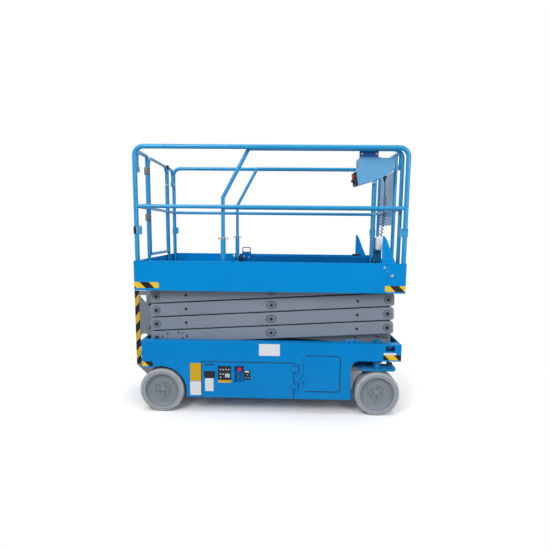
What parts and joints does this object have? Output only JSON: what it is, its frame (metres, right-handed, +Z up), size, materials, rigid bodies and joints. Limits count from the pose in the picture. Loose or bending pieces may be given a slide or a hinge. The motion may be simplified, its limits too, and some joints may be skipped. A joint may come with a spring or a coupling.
{
  "type": "scissor lift",
  "caption": "Self-propelled scissor lift: wheeled chassis with steered front wheels and swing-out trays, stacked scissor arms, and a railed platform with a roll-out deck.",
  "frame": {"origin": "on the ground, below the middle of the machine's length and width", "axes": "+X to the machine's front, +Y to its left side, +Z up"},
  "size_m": [2.43, 1.17, 2.2601],
  "materials": {
    "chassis_paint": "gloss",
    "frame_paint": "satin",
    "ladder_paint": "satin",
    "power_case": "satin",
    "battery_case": "matte",
    "tie_rod_steel": "satin",
    "tyre": "matte",
    "wheel_disc": "satin",
    "arm_paint": "satin",
    "pin_steel": "satin",
    "barrel_paint": "satin",
    "rod_chrome": "polished",
    "platform_paint": "gloss",
    "rail_paint": "gloss",
    "deck_paint": "satin",
    "control_case": "satin",
    "cord_cover": "matte"
  },
  "bodies": {
    "chassis": {"chassis_sides": "chassis_paint", "chassis_flanges": "chassis_paint", "chassis_rails": "frame_paint", "chassis_bulkheads": "frame_paint", "chassis_deck": "frame_paint", "chassis_ends": "chassis_paint", "kingpin_beam": "frame_paint", "rear_axle": "frame_paint", "ladder": "ladder_paint"},
    "tray_right": {"tray_right": "chassis_paint", "power_unit": "power_case"},
    "tray_left": {"tray_left": "chassis_paint", "batteries": "battery_case"},
    "access_door_right": {"access_door_right": "chassis_paint"},
    "access_door_left": {"access_door_left": "chassis_paint"},
    "yoke_right": {"yoke_right": "frame_paint"},
    "yoke_left": {"yoke_left": "frame_paint"},
    "tie_rod": {"tie_rod": "tie_rod_steel"},
    "wheel_front_right": {"tyre_front_right": "tyre", "disc_front_right": "wheel_disc"},
    "wheel_front_left": {"tyre_front_left": "tyre", "disc_front_left": "wheel_disc"},
    "wheel_rear_right": {"tyre_rear_right": "tyre", "disc_rear_right": "wheel_disc"},
    "wheel_rear_left": {"tyre_rear_left": "tyre", "disc_rear_left": "wheel_disc"},
    "lift_barrel": {"lift_barrel": "barrel_paint"},
    "lift_rod": {"lift_rod": "rod_chrome"},
    "platform": {"platform_floor": "platform_paint", "platform_sides": "platform_paint", "platform_rear": "platform_paint", "platform_mounts": "platform_paint", "side_rail_right": "rail_paint", "side_rail_left": "rail_paint"},
    "gate": {"gate": "rail_paint"},
    "extension": {"extension_deck": "deck_paint", "extension_rail_right": "rail_paint", "extension_rail_left": "rail_paint", "extension_front": "rail_paint", "control_box": "control_case", "control_cord": "cord_cover"},
    "outer_1": {"outer_arms_1": "arm_paint", "outer_pins_1": "pin_steel"},
    "inner_1": {"inner_arms_1": "arm_paint", "inner_tubes_1": "arm_paint"},
    "outer_2": {"outer_arms_2": "arm_paint", "outer_pins_2": "pin_steel"},
    "inner_2": {"inner_arms_2": "arm_paint", "inner_tubes_2": "arm_paint"},
    "outer_3": {"outer_arms_3": "arm_paint", "outer_pins_3": "pin_steel"},
    "inner_3": {"inner_arms_3": "arm_paint", "inner_tubes_3": "arm_paint"},
    "outer_4": {"outer_arms_4": "arm_paint", "outer_pins_4": "pin_steel"},
    "inner_4": {"inner_arms_4": "arm_paint", "inner_tubes_4": "arm_paint"}
  },
  "joints": [
    {"name": "scissor_lift", "type": "hinge", "parent": "chassis", "child": "outer_1", "pos_m": [-0.891, 0, 0.633], "axis": [0, -1, 0], "range_deg": [0, 60]},
    {"name": "inner_1_pivot", "type": "hinge", "parent": "outer_1", "child": "inner_1", "pos_m": [0.10416, 0, 0.69352], "axis": [0, -1, 0], "range_deg": [-120, 0]},
    {"name": "inner_2_pivot", "type": "hinge", "parent": "outer_1", "child": "inner_2", "pos_m": [1.09932, 0, 0.75404], "axis": [0, -1, 0], "range_deg": [-120, 0]},
    {"name": "outer_2_pivot", "type": "hinge", "parent": "inner_2", "child": "outer_2", "pos_m": [0.10416, 0, 0.81455], "axis": [0, -1, 0], "range_deg": [0, 120]},
    {"name": "outer_3_pivot", "type": "hinge", "parent": "inner_2", "child": "outer_3", "pos_m": [-0.891, 0, 0.87507], "axis": [0, -1, 0], "range_deg": [0, 120]},
    {"name": "inner_3_pivot", "type": "hinge", "parent": "outer_3", "child": "inner_3", "pos_m": [0.10416, 0, 0.93559], "axis": [0, -1, 0], "range_deg": [-120, 0]},
    {"name": "inner_4_pivot", "type": "hinge", "parent": "outer_3", "child": "inner_4", "pos_m": [1.09932, 0, 0.99611], "axis": [0, -1, 0], "range_deg": [-120, 0]},
    {"name": "outer_4_pivot", "type": "hinge", "parent": "inner_4", "child": "outer_4", "pos_m": [0.10416, 0, 1.05663], "axis": [0, -1, 0], "range_deg": [0, 120]},
    {"name": "platform_pivot", "type": "hinge", "parent": "inner_4", "child": "platform", "pos_m": [-0.891, 0, 1.11714], "axis": [0, -1, 0], "range_deg": [0, 60]},
    {"name": "barrel_pivot", "type": "hinge", "parent": "inner_1", "child": "lift_barrel", "pos_m": [-0.49473, 0, 0.72994], "axis": [0, -1, 0], "range_deg": [0, 127]},
    {"name": "rod_slide", "type": "slide", "parent": "lift_barrel", "child": "lift_rod", "axis": [0.9959, 0, 0.0907], "range_m": [0, 0.656]},
    {"name": "extension_slide", "type": "slide", "parent": "platform", "child": "extension", "axis": [1, 0, 0], "range_m": [0, 0.91]},
    {"name": "gate_swing", "type": "hinge", "parent": "platform", "child": "gate", "pos_m": [-1.02, -0.268, 1.69814], "axis": [0, 0, -1], "range_deg": [0, 90]},
    {"name": "steer_right", "type": "hinge", "parent": "chassis", "child": "yoke_right", "pos_m": [1.018, -0.514, 0.5], "axis": [0, 0, 1], "range_deg": [-60, 60]},
    {"name": "steer_left", "type": "hinge", "parent": "chassis", "child": "yoke_left", "pos_m": [1.018, 0.514, 0.5], "axis": [0, 0, 1], "range_deg": [-60, 60]},
    {"name": "tie_rod_pivot", "type": "hinge", "parent": "yoke_right", "child": "tie_rod", "pos_m": [1.128, -0.514, 0.437], "axis": [0, 0, 1], "range_deg": [-60, 60]},
    {"name": "spin_front_right", "type": "hinge", "parent": "yoke_right", "child": "wheel_front_right", "pos_m": [1.018, -0.514, 0.1905], "axis": [0, 1, 0], "continuous": true},
    {"name": "spin_front_left", "type": "hinge", "parent": "yoke_left", "child": "wheel_front_left", "pos_m": [1.018, 0.514, 0.1905], "axis": [0, 1, 0], "continuous": true},
    {"name": "spin_rear_right", "type": "hinge", "parent": "chassis", "child": "wheel_rear_right", "pos_m": [-0.832, -0.514, 0.1905], "axis": [0, 1, 0], "continuous": true},
    {"name": "spin_rear_left", "type": "hinge", "parent": "chassis", "child": "wheel_rear_left", "pos_m": [-0.832, 0.514, 0.1905], "axis": [0, 1, 0], "continuous": true},
    {"name": "tray_right_swing", "type": "hinge", "parent": "chassis", "child": "tray_right", "pos_m": [0.331, -0.575, 0.3], "axis": [0, 0, 1], "range_deg": [0, 90]},
    {"name": "tray_left_swing", "type": "hinge", "parent": "chassis", "child": "tray_left", "pos_m": [0.331, 0.575, 0.3], "axis": [0, 0, -1], "range_deg": [0, 90]},
    {"name": "access_right_swing", "type": "hinge", "parent": "chassis", "child": "access_door_right", "pos_m": [0.373, -0.575, 0.32], "axis": [0, 0, -1], "range_deg": [0, 90]},
    {"name": "access_left_swing", "type": "hinge", "parent": "chassis", "child": "access_door_left", "pos_m": [0.373, 0.575, 0.32], "axis": [0, 0, 1], "range_deg": [0, 90]}
  ],
  "couplings": [
    {"joint": "inner_1_pivot", "follows": "scissor_lift", "ratio": -2},
    {"joint": "inner_2_pivot", "follows": "scissor_lift", "ratio": -2},
    {"joint": "outer_2_pivot", "follows": "scissor_lift", "ratio": 2},
    {"joint": "outer_3_pivot", "follows": "scissor_lift", "ratio": 2},
    {"joint": "inner_3_pivot", "follows": "scissor_lift", "ratio": -2},
    {"joint": "inner_4_pivot", "follows": "scissor_lift", "ratio": -2},
    {"joint": "outer_4_pivot", "follows": "scissor_lift", "ratio": 2},
    {"joint": "platform_pivot", "follows": "scissor_lift", "ratio": 1},
    {"joint": "barrel_pivot", "follows": "scissor_lift", "ratio": 2.1061},
    {"joint": "rod_slide", "follows": "scissor_lift", "m_per_rad": 0.62498},
    {"joint": "steer_left", "follows": "steer_right", "ratio": 1},
    {"joint": "tie_rod_pivot", "follows": "steer_right", "ratio": -1}
  ]
}
